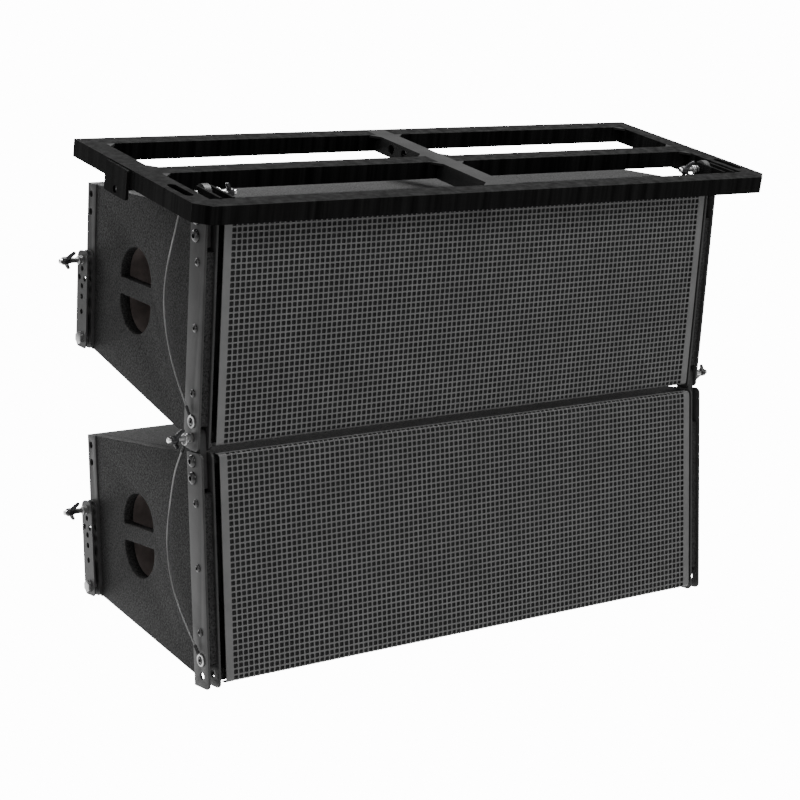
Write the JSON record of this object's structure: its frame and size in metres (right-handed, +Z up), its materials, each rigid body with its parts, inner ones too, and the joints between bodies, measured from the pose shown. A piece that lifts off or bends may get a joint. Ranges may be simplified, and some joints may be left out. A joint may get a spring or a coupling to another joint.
{
  "type": "line array speaker",
  "caption": "Two wide trapezoidal loudspeaker cabinets hanging one under the other from a rectangular steel fly frame, with quick-release pins, link bars and rear arms.",
  "frame": {"origin": "axis of the middle pick hole in the fly frame's pick bar, halfway between the sides", "axes": "+X along the cabinets' width, +Y to the rear, +Z up; the fly frame hangs level"},
  "size_m": [1.228, 0.5467, 0.8264],
  "materials": {
    "textured_paint": "matt black textured paint on plywood",
    "grille_black": "satin black perforated steel",
    "frame_black": "semi-gloss black",
    "rigging_black": "satin black",
    "bolt_black": "black oxide with a soft shine",
    "pin_black": "black, slightly glossy",
    "button_chrome": "polished",
    "wire_steel": "bright steel wire rope",
    "driver_metal": "black coated casting",
    "cone_paper": "matt black treated paper",
    "horn_plastic": "matt black moulding",
    "pocket_plastic": "brown-black moulding",
    "panel_black": "satin black plate with moulded sockets"
  },
  "bodies": {
    "fly_frame": {"frame_tubes": "frame_black", "frame_cross_tubes": "frame_black", "frame_pick_bar": "frame_black", "frame_link_lugs": "rigging_black", "frame_rear_brackets": "rigging_black", "frame_corner_gussets": "frame_black"},
    "upper_cabinet": {"upper_side_panels": "textured_paint", "upper_top_panel": "textured_paint", "upper_bottom_panel": "textured_paint", "upper_rear_panel": "textured_paint", "upper_front_baffle": "textured_paint", "upper_grille": "grille_black", "upper_woofer_frames": "driver_metal", "upper_woofer_cones": "cone_paper", "upper_hf_horn": "horn_plastic", "upper_hf_driver": "driver_metal", "upper_input_panel": "panel_black", "upper_handle_pockets": "pocket_plastic", "upper_rigging_plates": "rigging_black", "upper_links": "rigging_black", "upper_fasteners": "bolt_black", "upper_left_lanyard": "wire_steel", "upper_right_lanyard": "wire_steel"},
    "lower_cabinet": {"lower_side_panels": "textured_paint", "lower_top_panel": "textured_paint", "lower_bottom_panel": "textured_paint", "lower_rear_panel": "textured_paint", "lower_front_baffle": "textured_paint", "lower_grille": "grille_black", "lower_woofer_frames": "driver_metal", "lower_woofer_cones": "cone_paper", "lower_hf_horn": "horn_plastic", "lower_hf_driver": "driver_metal", "lower_input_panel": "panel_black", "lower_handle_pockets": "pocket_plastic", "lower_rigging_plates": "rigging_black", "lower_links": "rigging_black", "lower_fasteners": "bolt_black", "lower_left_lanyard": "wire_steel", "lower_right_lanyard": "wire_steel"},
    "upper_left_rear_arm": {"upper_left_rear_arm": "rigging_black"},
    "upper_left_rear_pin": {"upper_left_rear_pin": "pin_black"},
    "upper_left_rear_button": {"upper_left_rear_button": "button_chrome"},
    "upper_left_front_pin": {"upper_left_front_pin": "pin_black"},
    "upper_left_front_button": {"upper_left_front_button": "button_chrome"},
    "upper_right_rear_arm": {"upper_right_rear_arm": "rigging_black"},
    "upper_right_rear_pin": {"upper_right_rear_pin": "pin_black"},
    "upper_right_rear_button": {"upper_right_rear_button": "button_chrome"},
    "upper_right_front_pin": {"upper_right_front_pin": "pin_black"},
    "upper_right_front_button": {"upper_right_front_button": "button_chrome"},
    "lower_left_rear_arm": {"lower_left_rear_arm": "rigging_black"},
    "lower_left_rear_pin": {"lower_left_rear_pin": "pin_black"},
    "lower_left_rear_button": {"lower_left_rear_button": "button_chrome"},
    "lower_left_front_pin": {"lower_left_front_pin": "pin_black"},
    "lower_left_front_button": {"lower_left_front_button": "button_chrome"},
    "lower_right_rear_arm": {"lower_right_rear_arm": "rigging_black"},
    "lower_right_rear_pin": {"lower_right_rear_pin": "pin_black"},
    "lower_right_rear_button": {"lower_right_rear_button": "button_chrome"},
    "lower_right_front_pin": {"lower_right_front_pin": "pin_black"},
    "lower_right_front_button": {"lower_right_front_button": "button_chrome"}
  },
  "joints": [
    {"name": "upper_cabinet_tilt", "type": "hinge", "parent": "fly_frame", "child": "upper_cabinet", "pos_m": [0, -0.189, 0.0035], "axis": [1, 0, 0], "range_deg": [0, 8]},
    {"name": "lower_cabinet_tilt", "type": "hinge", "parent": "upper_cabinet", "child": "lower_cabinet", "pos_m": [0, -0.23649, -0.39174], "axis": [1, 0, 0], "range_deg": [0, 17]},
    {"name": "upper_left_rear_arm_swing", "type": "hinge", "parent": "upper_cabinet", "child": "upper_left_rear_arm", "pos_m": [-0.5575, 0.14391, -0.34629], "axis": [-1, 0, 0], "range_deg": [0, 180]},
    {"name": "upper_left_rear_pin_pull", "type": "slide", "parent": "upper_left_rear_arm", "child": "upper_left_rear_pin", "axis": [-1, 0, 0], "range_m": [0, 0.06]},
    {"name": "upper_left_rear_button_press", "type": "slide", "parent": "upper_left_rear_pin", "child": "upper_left_rear_button", "axis": [1, 0, 0], "range_m": [0, 0.0025], "stiffness_N_per_m": 300},
    {"name": "upper_left_front_pin_pull", "type": "slide", "parent": "fly_frame", "child": "upper_left_front_pin", "axis": [1, 0, 0], "range_m": [0, 0.06]},
    {"name": "upper_left_front_button_press", "type": "slide", "parent": "upper_left_front_pin", "child": "upper_left_front_button", "axis": [-1, 0, 0], "range_m": [0, 0.0025], "stiffness_N_per_m": 300},
    {"name": "upper_right_rear_arm_swing", "type": "hinge", "parent": "upper_cabinet", "child": "upper_right_rear_arm", "pos_m": [0.5575, 0.14391, -0.34629], "axis": [-1, 0, 0], "range_deg": [0, 180]},
    {"name": "upper_right_rear_pin_pull", "type": "slide", "parent": "upper_right_rear_arm", "child": "upper_right_rear_pin", "axis": [1, 0, 0], "range_m": [0, 0.06]},
    {"name": "upper_right_rear_button_press", "type": "slide", "parent": "upper_right_rear_pin", "child": "upper_right_rear_button", "axis": [-1, 0, 0], "range_m": [0, 0.0025], "stiffness_N_per_m": 300},
    {"name": "upper_right_front_pin_pull", "type": "slide", "parent": "fly_frame", "child": "upper_right_front_pin", "axis": [-1, 0, 0], "range_m": [0, 0.06]},
    {"name": "upper_right_front_button_press", "type": "slide", "parent": "upper_right_front_pin", "child": "upper_right_front_button", "axis": [1, 0, 0], "range_m": [0, 0.0025], "stiffness_N_per_m": 300},
    {"name": "lower_left_rear_arm_swing", "type": "hinge", "parent": "lower_cabinet", "child": "lower_left_rear_arm", "pos_m": [-0.5575, 0.04586, -0.78348], "axis": [-1, 0, 0], "range_deg": [0, 180]},
    {"name": "lower_left_rear_pin_pull", "type": "slide", "parent": "lower_left_rear_arm", "child": "lower_left_rear_pin", "axis": [-1, 0, 0], "range_m": [0, 0.06]},
    {"name": "lower_left_rear_button_press", "type": "slide", "parent": "lower_left_rear_pin", "child": "lower_left_rear_button", "axis": [1, 0, 0], "range_m": [0, 0.0025], "stiffness_N_per_m": 300},
    {"name": "lower_left_front_pin_pull", "type": "slide", "parent": "upper_cabinet", "child": "lower_left_front_pin", "axis": [-1, 0, 0], "range_m": [0, 0.06]},
    {"name": "lower_left_front_button_press", "type": "slide", "parent": "lower_left_front_pin", "child": "lower_left_front_button", "axis": [1, 0, 0], "range_m": [0, 0.0025], "stiffness_N_per_m": 300},
    {"name": "lower_right_rear_arm_swing", "type": "hinge", "parent": "lower_cabinet", "child": "lower_right_rear_arm", "pos_m": [0.5575, 0.04586, -0.78348], "axis": [-1, 0, 0], "range_deg": [0, 180]},
    {"name": "lower_right_rear_pin_pull", "type": "slide", "parent": "lower_right_rear_arm", "child": "lower_right_rear_pin", "axis": [1, 0, 0], "range_m": [0, 0.06]},
    {"name": "lower_right_rear_button_press", "type": "slide", "parent": "lower_right_rear_pin", "child": "lower_right_rear_button", "axis": [-1, 0, 0], "range_m": [0, 0.0025], "stiffness_N_per_m": 300},
    {"name": "lower_right_front_pin_pull", "type": "slide", "parent": "upper_cabinet", "child": "lower_right_front_pin", "axis": [1, 0, 0], "range_m": [0, 0.06]},
    {"name": "lower_right_front_button_press", "type": "slide", "parent": "lower_right_front_pin", "child": "lower_right_front_button", "axis": [-1, 0, 0], "range_m": [0, 0.0025], "stiffness_N_per_m": 300}
  ]
}
